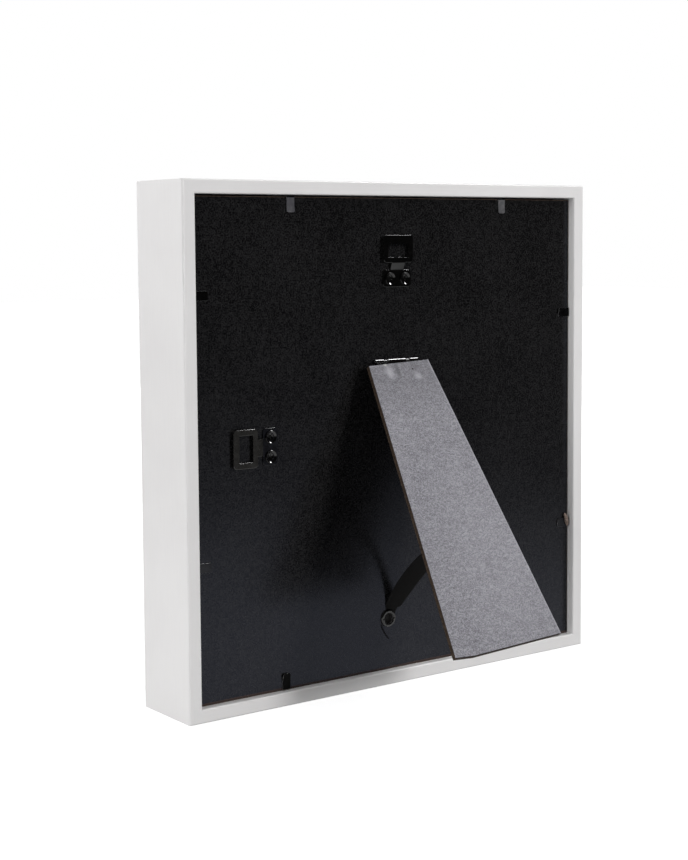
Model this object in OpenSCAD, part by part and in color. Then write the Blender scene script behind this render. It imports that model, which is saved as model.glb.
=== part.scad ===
// Square box frame with an acrylic front, a hinged strut and two wall hangers.
// The front faces -Y and the back faces +Y, +Z is up, and the origin is at the middle of the base.
// Left and right are as seen from the front.

/* [Frame] */
// Outside width
frame_w = 300; // [240:1:400]
// Outside height
frame_h = 300; // [270:1:400]
// Depth from front to back
frame_d = 50; // [40:1:70]
// Thickness of a rail's wall, as seen from behind
wall = 8; // [7:0.5:12]
// How far the front lip reaches in past the wall
lip = 4; // [4:0.5:8]
// Thickness of the front lip
lip_t = 4; // [3:0.5:8]
// Depth of the open recess behind the backing board
recess = 5; // [5:0.5:8]
// Width of the eased edges
ease = 0.6; // [0.3:0.1:1]

/* [Contents] */
// Play around each sheet in the frame
fit_gap = 0.5; // [0.3:0.1:1]
// Thickness of the acrylic sheet
acrylic_t = 2; // [1:0.5:3]
// Thickness of a spacer strip
spacer_t = 3; // [2:0.5:3]
// Thickness of the mat
mat_t = 1.4; // [1:0.2:3]
// Width of the mat's border
mat_border = 42; // [25:1:70]
// Thickness of the blank picture card
card_t = 0.4; // [0.2:0.1:1]
// Thickness of the backing board
board_t = 2.8; // [2.4:0.1:4]
// Thickness of the black film on the backing board
film_t = 0.2; // [0.1:0.05:0.4]
// How far the film stops short of the board's edge
film_in = 0.4; // [0:0.1:1]

/* [Tabs] */
// Width of a bending tab
tab_w = 5.5; // [4:0.5:8]
// Length of a tab out of the wall
tab_l = 10.5; // [7:0.5:14]
// Thickness of a tab
tab_t = 0.5; // [0.3:0.1:0.8]
// Depth of a tab's anchor in the wall
tab_grip = 5; // [3:0.5:6]
// Cut across a tab's corners
tab_cut = 0.8; // [0.3:0.1:1.5]

/* [Hangers] */
// Top of the frame to the rivet line of the top hanger
hanger_in = 56.6; // [45:0.2:70]
// Side of the frame to the rivet line of the side hanger
hanger_side_in = 58; // [45:0.2:70]
// Height of the side hanger above the middle of the frame, below it if negative
hanger_side_up = 0; // [-5:0.1:5]
// Thickness of the hanger plate
hanger_t = 0.8; // [0.5:0.1:1.2]
// How far the neck lifts the ring off the board
joggle = 1.6; // [1:0.1:2.4]
// Width of the ring
ring_w = 22.2; // [20:0.2:26]
// Height of the ring
ring_h = 16.3; // [15:0.1:20]
// Bars beside the window
ring_side = 3.5; // [2:0.1:4]
// Bar between the neck and the window
ring_foot = 3.2; // [2:0.1:5]
// Bar above the window
ring_top = 4; // [2:0.1:5]
// Number of sawteeth
teeth = 7; // [4:1:9]
// Height of a sawtooth
tooth_h = 2.6; // [1.4:0.1:3]
// Width of the neck
neck_w = 10; // [6:0.5:14]
// Length of the neck
neck_l = 4.3; // [3:0.1:7]
// Width of the rivet plate
plate_w = 21.4; // [20:0.2:26]
// Height of the rivet plate
plate_h = 10.2; // [9:0.2:14]
// Distance between a hanger's two rivets
rivet_gap = 11.3; // [10:0.1:12]
// Radius of a hanger rivet's rolled rim
rivet_r = 3.7; // [3:0.1:4]

/* [Strut] */
// Opening angle as stood
rest_open = 30; // [20:1:40]
// Width of the strut at the hinge
strut_top = 45.5; // [40:0.5:60]
// Width of the strut at its foot
strut_foot = 80.3; // [60:0.1:100]
// Length of the strut
strut_l = 179.3; // [150:0.1:185]
// Clear height between the folded foot and the bottom rail
foot_gap = 4; // [3:0.5:10]
// Thickness of the strut's board
core_t = 2.8; // [2:0.1:4]
// Thickness of the paper on the strut
cover_t = 0.2; // [0.1:0.05:0.4]
// How far the strut sits out of square on its hinge
skew = 2.4; // [0:0.1:4]
// Sideways place of the strut's top
strut_x = 3.2; // [-5:0.1:5]
// Width of the cut on the foot's corner
foot_cut_w = 13.5; // [5:0.5:20]
// Height of the cut on the foot's corner
foot_cut_h = 1.4; // [0.5:0.1:4]

/* [Hinge] */
// Width of the hinge leaves
leaf_w = 32; // [28:0.5:38]
// Thickness of the hinge leaves
leaf_t = 0.5; // [0.4:0.05:0.8]
// Length of the board's leaf below the pin
leaf_l = 14; // [13:0.5:18]
// Length of the strut's leaf below the pin
strut_leaf_l = 17; // [16:0.5:22]
// Radius of the hinge pin
pin_r = 0.7; // [0.5:0.05:1]
// Radial running clearance on the pin
pin_gap = 0.04; // [0.02:0.01:0.08]
// Sideways place of the hinge
hinge_x = 1.5; // [-4:0.1:4]
// Length of the middle knuckle
knuckle_mid = 13.2; // [8:0.2:15]
// Length of an end knuckle
knuckle_end = 6; // [4:0.2:6]

/* [Strap] */
// Width of the strap
strap_w = 12.6; // [11:0.2:16]
// Thickness of the strap
strap_t = 0.4; // [0.3:0.05:0.6]
// Height of the board's eyelet above the bottom rail
strap_up = 31.3; // [20:0.1:45]
// Sideways place of the board's eyelet
strap_x = 7.7; // [-15:0.1:15]
// Sideways place of the strut's eyelet
strap_far_x = -4; // [-15:0.5:15]
// Distance of the strut's eyelet below the hinge
strap_drop = 131; // [100:1:140]
// Lean of the strap at its eyelet on the board
strap_lean = 20; // [0:1:25]
// How far the strap runs on before it leaves the board
strap_rise = 14; // [3:0.5:25]
// How far the strap's arch reaches up over the strut's eyelet
strap_fall = 31; // [10:0.5:45]
// Radius of an eyelet's rolled rim
eyelet_r = 5; // [4:0.1:5.4]
// Radius of an eyelet's bore
eyelet_bore = 3.2; // [2.4:0.1:3.6]

/* [Hidden] */
$fn = 48;

// One overrun serves every cut
over = 1;

// Sides of the frame, counted round from the base
BOTTOM = 0;
LEFT = 1;
TOP = 2;
RIGHT = 3;

// Planes through the depth, from the front to the back
front_y = -frame_d / 2;
back_y = frame_d / 2;
acrylic_y = front_y + lip_t;
spacer_y = acrylic_y + acrylic_t;
face_y = back_y - recess;
film_y = face_y - film_t;
board_y = film_y - board_t;
card_y = board_y - card_t;
mat_y = card_y - mat_t;

// Every sheet stands on the bottom rail, with its play at the sides and above
rail_w = wall + lip;
sheet_w = frame_w - 2 * wall - 2 * fit_gap;
sheet_h = frame_h - 2 * wall - 2 * fit_gap;
mid_z = frame_h / 2;

// V nails across each mitre, two to a corner
nail_leg = wall * 0.65;
nail_t = wall * 0.06;
nail_d = frame_d * 0.2;
nail_in = wall * 0.25;
nail_y_shares = [-0.2, 0.22];

// Tabs: side of the frame, then place along it as a share of its length from the middle
tab_side_shares = [
    ["tab_top_left", TOP, -0.278], ["tab_top_right", TOP, 0.255],
    ["tab_bottom_left", BOTTOM, -0.277], ["tab_bottom_right", BOTTOM, 0.275],
    ["tab_left_upper", LEFT, 0.23], ["tab_left_lower", LEFT, -0.227],
    ["tab_right_upper", RIGHT, 0.288], ["tab_right_lower", RIGHT, -0.214]
];
tab_seat = tab_t / 5;
tab_y = face_y + tab_seat;
tab_pivot = tab_t / 2 + tab_seat;

// Hanger, about the line through its two rivets
neck_z = plate_h / 2;
ring_z = neck_z + neck_l;
window_w = ring_w - 2 * ring_side;
window_h = ring_h - ring_foot - ring_top;
corner_r = ring_side * 0.6;
hanger_z = frame_h - hanger_in;
hanger_side_x = frame_w / 2 - hanger_side_in;
hanger_side_z = mid_z + hanger_side_up;

// Rolled rivets and eyelets: tube wall, and the flat head let into the far side
tube_t = leaf_t;
head_t = leaf_t;
rivet_bore = rivet_r * 0.4;
rivet_head = rivet_r * 0.9;
eyelet_head = eyelet_bore + 2 * tube_t;

// Hinge: the leaves curl round the pin, and the curl is a touch thicker than the leaf
bore_r = pin_r + pin_gap;
curl_share = 1.02;
barrel_r = bore_r + leaf_t * curl_share;
knuckle_clear = barrel_r * 1.3;
knuckle_step = leaf_w / 2 - knuckle_end;
pin_l = leaf_w + 2 * leaf_t;
solid_r = leaf_t * 4;
solid_shank = leaf_t * 2.2;
solid_rise = leaf_t * 1.1;
board_rivet_x = leaf_w * 0.17;
board_rivet_drop = leaf_l * 0.62;
strut_rivet_x = leaf_w * 0.33;
strut_rivet_drop = strut_leaf_l * 0.6;

// Strut, folded flat about the hinge pin: the leaf is let in flush with its inner face
strut_in = barrel_r - leaf_t;
cover_y = strut_in + core_t;
strut_u0 = knuckle_clear * 2;
strut_u1 = strut_u0 + strut_l;
hinge_y = face_y + barrel_r;
hinge_z = wall + foot_gap + strut_u1;

// Strap: flat ends under the eyelets and a slack arch between them
strap_seat = strap_t / 5;
strap_tail = eyelet_r * 1.2;
strap_rings = 22;
eye_z = wall + strap_up;
eye_hole = eyelet_bore + tube_t;
lean_dir = [-sin(strap_lean), 0, cos(strap_lean)];
lean_side = [cos(strap_lean), 0, sin(strap_lean)];
board_eye = [strap_x, face_y + strap_t / 2, eye_z];

white = [0.90, 0.90, 0.89];
black = [0.09, 0.09, 0.10];
steel = [0.16, 0.16, 0.17];
brown = [0.36, 0.29, 0.25];
pale = [0.93, 0.92, 0.90];
grey = [0.56, 0.56, 0.58];

// Turn a point or a direction with the opened strut, about the hinge pin
function turned(p) = [
    p.x,
    p.y * cos(rest_open) - p.z * sin(rest_open),
    p.y * sin(rest_open) + p.z * cos(rest_open)
];
function opened(p) = turned(p) + [0, hinge_y, hinge_z];
function unit(v) = v / norm(v);

// Length of a side, and the sense in which places along it are counted
function side_l(side) = side == BOTTOM || side == TOP ? frame_w : frame_h;
function side_sense(side) = side == BOTTOM || side == RIGHT ? 1 : -1;

// Children stand on the outer face of a side: x along it, z in towards the middle
module on_side(side) {
    places = [
        [0, 0, 0], [-frame_w / 2, 0, mid_z],
        [0, 0, frame_h], [frame_w / 2, 0, mid_z]
    ];
    turns = [0, 90, 180, -90];
    translate(places[side]) rotate([0, turns[side], 0]) children();
}

// Place on the rear face of the backing board
module on_board(x, z) {
    translate([x, face_y, z]) children();
}

// Place on the opened strut, measured folded flat from the hinge pin
module on_strut() {
    translate([0, hinge_y, hinge_z]) rotate([rest_open, 0, 0]) children();
}

// Stand a flat outline up, facing back, with its thickness growing backwards from y
module upright(y, t) {
    translate([0, y + t, 0]) rotate([90, 0, 0]) linear_extrude(t) children();
}

module round_rect(w, h, r) {
    square([w - 2 * r, h], center = true);
    square([w, h - 2 * r], center = true);
    for (x = [-1, 1], y = [-1, 1])
        translate([x * (w / 2 - r), y * (h / 2 - r)]) circle(r);
}

// Rails: an L section with a front lip, mitred at both ends
module rail_section() {
    polygon([
        [ease, front_y], [rail_w - ease, front_y], [rail_w, front_y + ease],
        [rail_w, acrylic_y], [wall, acrylic_y], [wall, back_y - ease],
        [wall - ease, back_y], [ease, back_y], [0, back_y - ease], [0, front_y + ease]
    ]);
}

module mitre(l) {
    upright(front_y - over, frame_d + 2 * over)
        polygon([[-l / 2, 0], [l / 2, 0], [l / 2 - rail_w, rail_w], [rail_w - l / 2, rail_w]]);
}

module rail(side) {
    color(white) difference() {
        on_side(side) intersection() {
            rotate([0, -90, 0]) linear_extrude(side_l(side), center = true) rail_section();
            mitre(side_l(side));
        }
        v_nails();
        for (t = tab_side_shares) if (t[1] == side) tab_anchor(t);
    }
}

module rail_bottom() { rail(BOTTOM); }
module rail_left() { rail(LEFT); }
module rail_top() { rail(TOP); }
module rail_right() { rail(RIGHT); }

// V nails: one leg in each rail, with the fold on the mitre
module v_nail() {
    translate([nail_in, 0, nail_in]) {
        cube([nail_leg, nail_d, nail_t]);
        cube([nail_t, nail_d, nail_leg]);
    }
}

module v_nails() {
    for (x = [0, 1], z = [0, 1], y = nail_y_shares)
        translate([0, y * frame_d, z * frame_h]) mirror([0, 0, z])
            translate([(x - 0.5) * frame_w, 0, 0]) mirror([x, 0, 0]) v_nail();
}

module corner_v_nails() {
    color(steel) v_nails();
}

// Flat contents, all standing on the bottom rail
module sheet(y, t, inset = 0) {
    translate([inset - sheet_w / 2, y, wall + inset])
        cube([sheet_w - 2 * inset, t, sheet_h - 2 * inset]);
}

module acrylic_sheet() {
    color([0.80, 0.88, 0.90, 0.35]) sheet(acrylic_y, acrylic_t);
}

// Spacer strips: the level ones run right across, the upright ones stand between them
module level_spacer(z) {
    color(pale) translate([-sheet_w / 2, spacer_y, z])
        cube([sheet_w, mat_y - spacer_y, spacer_t]);
}

module upright_spacer(x) {
    color(pale) translate([x, spacer_y, wall + spacer_t])
        cube([spacer_t, mat_y - spacer_y, sheet_h - 2 * spacer_t]);
}

module spacer_bottom() { level_spacer(wall); }
module spacer_top() { level_spacer(wall + sheet_h - spacer_t); }
module spacer_left() { upright_spacer(-sheet_w / 2); }
module spacer_right() { upright_spacer(sheet_w / 2 - spacer_t); }

// Mat with a window cut on a 45 degree bevel, widest at the front
module mat_board() {
    hole_w = sheet_w - 2 * mat_border;
    hole_h = sheet_h - 2 * mat_border;
    color(pale) difference() {
        sheet(mat_y, mat_t);
        translate([0, card_y, wall + sheet_h / 2]) rotate([90, 0, 0])
            linear_extrude(mat_t, scale = [1 + 2 * mat_t / hole_w, 1 + 2 * mat_t / hole_h])
                square([hole_w, hole_h], center = true);
    }
}

module picture_card() {
    color(pale) sheet(card_y, card_t);
}

// Everything that is riveted through the backing board: x, z, shank radius, head radius
board_fixings = [
    [-rivet_gap / 2, hanger_z, rivet_bore + tube_t, rivet_head],
    [rivet_gap / 2, hanger_z, rivet_bore + tube_t, rivet_head],
    [hanger_side_x, hanger_side_z - rivet_gap / 2, rivet_bore + tube_t, rivet_head],
    [hanger_side_x, hanger_side_z + rivet_gap / 2, rivet_bore + tube_t, rivet_head],
    [hinge_x - board_rivet_x, hinge_z - board_rivet_drop, solid_shank, solid_r],
    [hinge_x + board_rivet_x, hinge_z - board_rivet_drop, solid_shank, solid_r],
    [strap_x, eye_z, eye_hole, eyelet_head]
];

module backing_board() {
    color(brown) difference() {
        sheet(board_y, board_t);
        for (f = board_fixings) translate([f[0], board_y, f[1]]) rotate([-90, 0, 0]) {
            translate([0, 0, -over]) cylinder(r = f[2], h = board_t + 2 * over);
            translate([0, 0, -over]) cylinder(r = f[3], h = head_t + over);
        }
    }
}

module backing_film() {
    color(black) difference() {
        sheet(film_y, film_t, film_in);
        for (f = board_fixings) translate([f[0], film_y - over, f[1]]) rotate([-90, 0, 0])
            cylinder(r = f[2], h = film_t + 2 * over);
    }
}

// Tabs: a flat anchor in the wall, and the blade that bends up to free the board
module on_tab(t) {
    on_side(t[1]) translate([side_sense(t[1]) * t[2] * side_l(t[1]), 0, wall]) children();
}

module tab_anchor(t) {
    on_tab(t) translate([-tab_w / 2, tab_y, -tab_grip]) cube([tab_w, tab_t, tab_grip]);
}

module tab_anchors() {
    color(steel) for (t = tab_side_shares) tab_anchor(t);
}

module tab_blade(t) {
    color(steel) on_tab(t) translate([0, 0, tab_pivot]) {
        translate([0, tab_y + tab_t / 2, 0]) rotate([0, 90, 0])
            cylinder(d = tab_t, h = tab_w, center = true, $fn = 24);
        upright(tab_y, tab_t) polygon([
            [-tab_w / 2, 0], [tab_w / 2, 0], [tab_w / 2, tab_l - tab_cut],
            [tab_w / 2 - tab_cut, tab_l], [tab_cut - tab_w / 2, tab_l],
            [-tab_w / 2, tab_l - tab_cut]
        ]);
    }
}

module tab_top_left() { tab_blade(tab_side_shares[0]); }
module tab_top_right() { tab_blade(tab_side_shares[1]); }
module tab_bottom_left() { tab_blade(tab_side_shares[2]); }
module tab_bottom_right() { tab_blade(tab_side_shares[3]); }
module tab_left_upper() { tab_blade(tab_side_shares[4]); }
module tab_left_lower() { tab_blade(tab_side_shares[5]); }
module tab_right_upper() { tab_blade(tab_side_shares[6]); }
module tab_right_lower() { tab_blade(tab_side_shares[7]); }

// Hangers: one stamped plate whose neck lifts the ring off the board
module sawteeth() {
    pitch = window_w / teeth;
    for (i = [0 : teeth - 1]) translate([(i + 0.5) * pitch - window_w / 2, 0])
        polygon([[-pitch / 2, over], [-pitch / 2, 0], [0, -tooth_h], [pitch / 2, 0], [pitch / 2, over]]);
}

module hanger_face(toothed) {
    window_z = ring_z + ring_foot;
    difference() {
        union() {
            round_rect(plate_w, plate_h, corner_r);
            translate([-neck_w / 2, 0]) square([neck_w, ring_z + ring_foot / 2]);
            translate([0, ring_z + ring_h / 2]) round_rect(ring_w, ring_h, corner_r);
        }
        difference() {
            translate([-window_w / 2, window_z]) square([window_w, window_h]);
            if (toothed) translate([0, window_z + window_h]) sawteeth();
        }
        for (x = [-1, 1]) translate([x * rivet_gap / 2, 0]) circle(rivet_bore + tube_t);
    }
}

// Bend line seen from the side, as depth and height
module hanger_bend() {
    polygon([
        [0, -plate_h / 2], [hanger_t, -plate_h / 2], [hanger_t, neck_z],
        [joggle + hanger_t, ring_z], [joggle + hanger_t, ring_z + ring_h],
        [joggle, ring_z + ring_h], [joggle, ring_z], [0, neck_z]
    ]);
}

module hanger(toothed) {
    intersection() {
        upright(-over, joggle + hanger_t + 2 * over) hanger_face(toothed);
        rotate([90, 0, 90]) linear_extrude(ring_w + plate_w, center = true) hanger_bend();
    }
}

module hanger_top() {
    color(steel) on_board(0, hanger_z) hanger(true);
}

module hanger_side() {
    color(steel) on_board(hanger_side_x, hanger_side_z) rotate([0, 90, 0]) hanger(false);
}

// Hollow rivet or eyelet: a rolled rim on top, a tube through the grip and a flat head below
module rolled_rivet(rim, bore, head, grip) {
    rim_r = (rim - bore) / 2;
    rotate([-90, 0, 0]) rotate_extrude() {
        intersection() {
            translate([bore + rim_r, 0]) circle(rim_r);
            translate([bore, 0]) square([2 * rim_r, rim_r]);
        }
        translate([bore, -grip]) square([tube_t, grip + rim_r / 2]);
        translate([0, -grip]) square([head, head_t]);
    }
}

module hanger_rivet(x, z) {
    translate([x, face_y + hanger_t, z])
        rolled_rivet(rivet_r, rivet_bore, rivet_head, hanger_t + film_t + board_t);
}

module hanger_rivets() {
    color(steel) for (f = [0 : 3]) hanger_rivet(board_fixings[f][0], board_fixings[f][1]);
}

// Hinge leaf: a plate on the -Y side of the pin, curled round it where the knuckles are
module hinge_leaf(l, knuckles) {
    difference() {
        union() {
            translate([-leaf_w / 2, -barrel_r, -l]) cube([leaf_w, leaf_t, l - knuckle_clear]);
            for (k = knuckles) translate([k[0], 0, 0]) {
                translate([0, -barrel_r, -l / 2]) cube([k[1] - k[0], leaf_t, l / 2]);
                rotate([0, 90, 0]) cylinder(r = barrel_r, h = k[1] - k[0]);
            }
        }
        translate([-leaf_w / 2 - over, 0, 0]) rotate([0, 90, 0]) cylinder(r = bore_r, h = leaf_w + 2 * over);
        translate([-leaf_w / 2 - over, leaf_t - barrel_r, -barrel_r - over])
            cube([leaf_w + 2 * over, 2 * barrel_r, barrel_r + over - bore_r / 2]);
    }
}

// Solid rivet with a low round head, clinched flush at the far side
module solid_rivet(grip) {
    rotate([-90, 0, 0]) {
        cylinder(r1 = solid_r, r2 = solid_shank, h = solid_rise);
        translate([0, 0, -grip]) cylinder(r = solid_shank, h = grip);
        translate([0, 0, -grip]) cylinder(r = solid_r, h = head_t);
    }
}

module hinge_board_leaf() {
    side = [[-leaf_w / 2, -knuckle_step], [knuckle_step, leaf_w / 2]];
    color(steel) translate([hinge_x, hinge_y, hinge_z]) difference() {
        hinge_leaf(leaf_l, side);
        for (x = [-1, 1]) translate([x * board_rivet_x, -barrel_r - over, -board_rivet_drop])
            rotate([-90, 0, 0]) cylinder(r = solid_shank, h = leaf_t + 2 * over);
    }
}

module hinge_board_rivets() {
    color(steel) for (x = [-1, 1])
        translate([hinge_x + x * board_rivet_x, face_y + leaf_t, hinge_z - board_rivet_drop])
            solid_rivet(leaf_t + film_t + board_t);
}

module hinge_pin() {
    color(steel) translate([hinge_x, hinge_y, hinge_z]) rotate([0, 90, 0])
        cylinder(r = pin_r, h = pin_l, center = true);
}

module hinge_strut_leaf() {
    middle = [[-knuckle_mid / 2, knuckle_mid / 2]];
    color(steel) on_strut() translate([hinge_x, 0, 0]) difference() {
        mirror([0, 1, 0]) hinge_leaf(strut_leaf_l, middle);
        for (x = [-1, 1]) translate([x * strut_rivet_x, strut_in - over, -strut_rivet_drop])
            rotate([-90, 0, 0]) cylinder(r = solid_shank, h = leaf_t + 2 * over);
    }
}

module hinge_strut_rivets() {
    color(steel) on_strut() for (x = [-1, 1])
        translate([hinge_x + x * strut_rivet_x, strut_in, -strut_rivet_drop])
            mirror([0, 1, 0]) solid_rivet(core_t);
}

// Strut: a tapered board, its foot cut at one corner, papered on the outer face
module strut_outline() {
    polygon([
        [-strut_top / 2, -strut_u0], [strut_top / 2, -strut_u0],
        [strut_foot / 2, foot_cut_h - strut_u1], [strut_foot / 2 - foot_cut_w, -strut_u1],
        [-strut_foot / 2, -strut_u1]
    ]);
}

module strut_slab(y, t) {
    translate([strut_x, 0, 0]) rotate([0, skew, 0]) upright(y, t) strut_outline();
}

module strut_board() {
    color(brown) on_strut() difference() {
        strut_slab(strut_in, core_t);
        translate([hinge_x - leaf_w / 2, strut_in - over, -strut_leaf_l])
            cube([leaf_w, leaf_t + over, strut_leaf_l]);
        for (x = [-1, 1]) translate([hinge_x + x * strut_rivet_x, 0, -strut_rivet_drop])
            rotate([-90, 0, 0]) {
                cylinder(r = solid_shank, h = cover_y + over);
                translate([0, 0, cover_y - head_t]) cylinder(r = solid_r, h = head_t + over);
            }
        translate([strap_far_x, 0, -strap_drop]) rotate([-90, 0, 0]) {
            cylinder(r = eye_hole, h = cover_y + over);
            translate([0, 0, cover_y - head_t]) cylinder(r = eyelet_head, h = head_t + over);
        }
    }
}

module strut_cover() {
    color(grey) on_strut() strut_slab(cover_y, cover_t);
}

// Strap: flat under each eyelet, and a bezier between the ends of the two flats
strut_eye = [strap_far_x, strut_in - strap_seat - strap_t / 2, -strap_drop];
span_start = board_eye + eyelet_r * lean_dir;
span_end = opened(strut_eye + [0, 0, eyelet_r]);
span_points = [
    span_start, span_start + strap_rise * lean_dir,
    span_end + strap_fall * turned([0, 0, 1]), span_end
];

function bezier(p, t) =
    p[0] * pow(1 - t, 3) + 3 * p[1] * pow(1 - t, 2) * t
    + 3 * p[2] * (1 - t) * pow(t, 2) + p[3] * pow(t, 3);

// A row of strap centres: the two ends, and the span between them
strap_line = concat(
    [board_eye - strap_tail * lean_dir],
    [for (i = [0 : strap_rings]) bezier(span_points, i / strap_rings)],
    [opened(strut_eye - [0, 0, strap_tail])]
);

// Across and through the strap at a ring, turning from the board's eyelet to the strut's
function strap_along(i) =
    unit(strap_line[min(i + 1, len(strap_line) - 1)] - strap_line[max(i - 1, 0)]);
function strap_side(i) =
    let (s = min(1, max(0, (i - 1) / strap_rings)), side = (1 - s) * lean_side + s * [1, 0, 0])
    unit(side - (side * strap_along(i)) * strap_along(i));
function strap_ring(i) =
    let (side = strap_side(i) * strap_w / 2, up = cross(strap_side(i), strap_along(i)) * strap_t / 2)
    [for (c = [[-1, -1], [1, -1], [1, 1], [-1, 1]]) strap_line[i] + c[0] * side + c[1] * up];

module strap_band() {
    n = len(strap_line);
    points = [for (i = [0 : n - 1]) each strap_ring(i)];
    sides = [for (i = [0 : n - 2], c = [0 : 3])
        let (a = 4 * i + c, b = 4 * i + (c + 1) % 4) each [[a, a + 4, b], [b, a + 4, b + 4]]];
    last = 4 * (n - 1);
    polyhedron(points, concat(
        [[0, 1, 2], [0, 2, 3]], sides,
        [[last, last + 2, last + 1], [last, last + 3, last + 2]]
    ));
}

module strap() {
    color(black) difference() {
        strap_band();
        on_board(strap_x, eye_z) translate([0, -over, 0]) rotate([-90, 0, 0])
            cylinder(r = eye_hole, h = strap_t + 2 * over);
        on_strut() translate([strap_far_x, -over, -strap_drop]) rotate([-90, 0, 0])
            cylinder(r = eye_hole + strap_t, h = strut_in + over);
    }
}

module strap_board_eyelet() {
    color(steel) translate([strap_x, face_y + strap_t, eye_z])
        rolled_rivet(eyelet_r, eyelet_bore, eyelet_head, strap_t + film_t + board_t);
}

module strap_strut_eyelet() {
    stand = 2 * strap_seat + strap_t;
    color(steel) on_strut() translate([strap_far_x, strut_in - stand, -strap_drop])
        mirror([0, 1, 0]) rolled_rivet(eyelet_r, eyelet_bore, eyelet_head, stand + core_t);
}

rail_bottom();
rail_left();
rail_top();
rail_right();
corner_v_nails();
acrylic_sheet();
spacer_bottom();
spacer_left();
spacer_top();
spacer_right();
mat_board();
picture_card();
backing_board();
backing_film();
tab_anchors();
tab_top_left();
tab_top_right();
tab_bottom_left();
tab_bottom_right();
tab_left_upper();
tab_left_lower();
tab_right_upper();
tab_right_lower();
hanger_top();
hanger_side();
hanger_rivets();
hinge_board_leaf();
hinge_board_rivets();
hinge_pin();
hinge_strut_leaf();
hinge_strut_rivets();
strut_board();
strut_cover();
strap();
strap_board_eyelet();
strap_strut_eyelet();
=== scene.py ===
import bpy
import bmesh
import math
from mathutils import Matrix, Vector, noise


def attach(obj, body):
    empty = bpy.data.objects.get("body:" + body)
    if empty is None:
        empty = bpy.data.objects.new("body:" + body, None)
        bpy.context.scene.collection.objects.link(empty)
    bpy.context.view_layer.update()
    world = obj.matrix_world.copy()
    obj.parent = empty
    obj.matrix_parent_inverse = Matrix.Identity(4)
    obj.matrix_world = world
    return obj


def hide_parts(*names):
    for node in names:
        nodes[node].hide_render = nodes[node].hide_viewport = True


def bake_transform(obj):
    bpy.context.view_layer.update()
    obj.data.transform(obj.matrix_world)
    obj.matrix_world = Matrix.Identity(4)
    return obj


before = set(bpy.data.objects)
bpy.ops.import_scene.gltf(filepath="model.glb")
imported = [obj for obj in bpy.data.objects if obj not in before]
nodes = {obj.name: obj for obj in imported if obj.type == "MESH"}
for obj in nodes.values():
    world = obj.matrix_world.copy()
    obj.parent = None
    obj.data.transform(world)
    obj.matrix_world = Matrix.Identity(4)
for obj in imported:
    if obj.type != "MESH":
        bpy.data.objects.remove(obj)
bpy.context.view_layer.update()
mm = 0.001
print("frame loaded:", len(nodes), "nodes")


# shader wires: a socket that takes part in sums
class Wire:
    def __init__(self, tree, socket=None):
        self.tree = tree
        self.socket = socket

    def add(self, kind, settings=None, inputs=None, out=0):
        node = self.tree.nodes.new("ShaderNode" + kind)
        for name, value in (settings or {}).items():
            if name == "stops":  # colour ramp: (place, grey or colour)
                marks = node.color_ramp.elements
                while len(marks) < len(value):
                    marks.new(0.5)
                for mark, (where, shade) in zip(marks, value):
                    mark.position = where
                    mark.color = (*shade, 1) if isinstance(shade, tuple) else (shade, shade, shade, 1)
            else:
                setattr(node, name, value)
        for name, value in (inputs or {}).items():
            if isinstance(value, Wire):
                self.tree.links.new(value.socket, node.inputs[name])
            else:
                node.inputs[name].default_value = value
        return Wire(self.tree, node.outputs[out]) if node.outputs else None

    def maths(self, operation, first, second=0.0):
        return self.add("Math", {"operation": operation}, {0: first, 1: second})

    def __add__(self, other):
        return self.maths("ADD", self, other)

    def __radd__(self, other):
        return self.maths("ADD", other, self)

    def __sub__(self, other):
        return self.maths("SUBTRACT", self, other)

    def __rsub__(self, other):
        return self.maths("SUBTRACT", other, self)

    def __mul__(self, other):
        return self.maths("MULTIPLY", self, other)

    def __rmul__(self, other):
        return self.maths("MULTIPLY", other, self)

    def __truediv__(self, other):
        return self.maths("DIVIDE", self, other)

    def __gt__(self, other):
        return self.maths("GREATER_THAN", self, other)

    def __lt__(self, other):
        return self.maths("LESS_THAN", self, other)

    def part(self, which):  # x, y or z of a vector
        return self.add("SeparateXYZ", None, {0: self}, which)

    def mix(self, low, high):  # self is the share of high
        return self.add("Mix", {"data_type": "RGBA"}, {0: self, 6: low, 7: high}, 2)

    def ramp(self, *stops):
        return self.add("ValToRGB", {"stops": stops}, {"Fac": self})

    def spread(self, low, high, toLow, toHigh, kind="SMOOTHSTEP"):  # low to high becomes toLow to toHigh
        limits = {"Value": self, "From Min": low, "From Max": high, "To Min": toLow, "To Max": toHigh}
        return self.add("MapRange", {"interpolation_type": kind}, limits)


def newMaterial(name):
    material = bpy.data.materials.new(name)
    material.use_nodes = True
    material.node_tree.nodes.clear()
    return material, Wire(material.node_tree)


def surface(material, wire, sockets):
    shader = wire.add("BsdfPrincipled", None, sockets)
    wire.add("OutputMaterial", None, {"Surface": shader})
    return material


def place(wire, stretch=(1, 1, 1)):
    start = wire.add("TexCoord", out="Object")
    return wire.add("Mapping", None, {"Vector": start, "Scale": stretch})


def grain(wire, at, size, detail=2.0, rough=0.5):
    sockets = {"Vector": at, "Scale": 1 / size, "Detail": detail, "Roughness": rough}
    return wire.add("TexNoise", None, sockets)


def relief(wire, height, depth, under=None):
    sockets = {"Height": height, "Distance": depth, "Strength": 1.0}
    if under:
        sockets["Normal"] = under
    return wire.add("Bump", None, sockets)


# finishes
lacquer = {
    "white": (0.800, 0.790, 0.788),
    "shade": (0.765, 0.752, 0.752),
    "roughness": 0.38,
    "grain": 0.9 * mm,
    "drawn": 0.05,  # how far the grain is drawn out along the rail
    "cloud": 45 * mm,
    "peel": 1.6 * mm,
    "peelDepth": 0.010 * mm,
    "grainDepth": 0.014 * mm,
}


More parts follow.
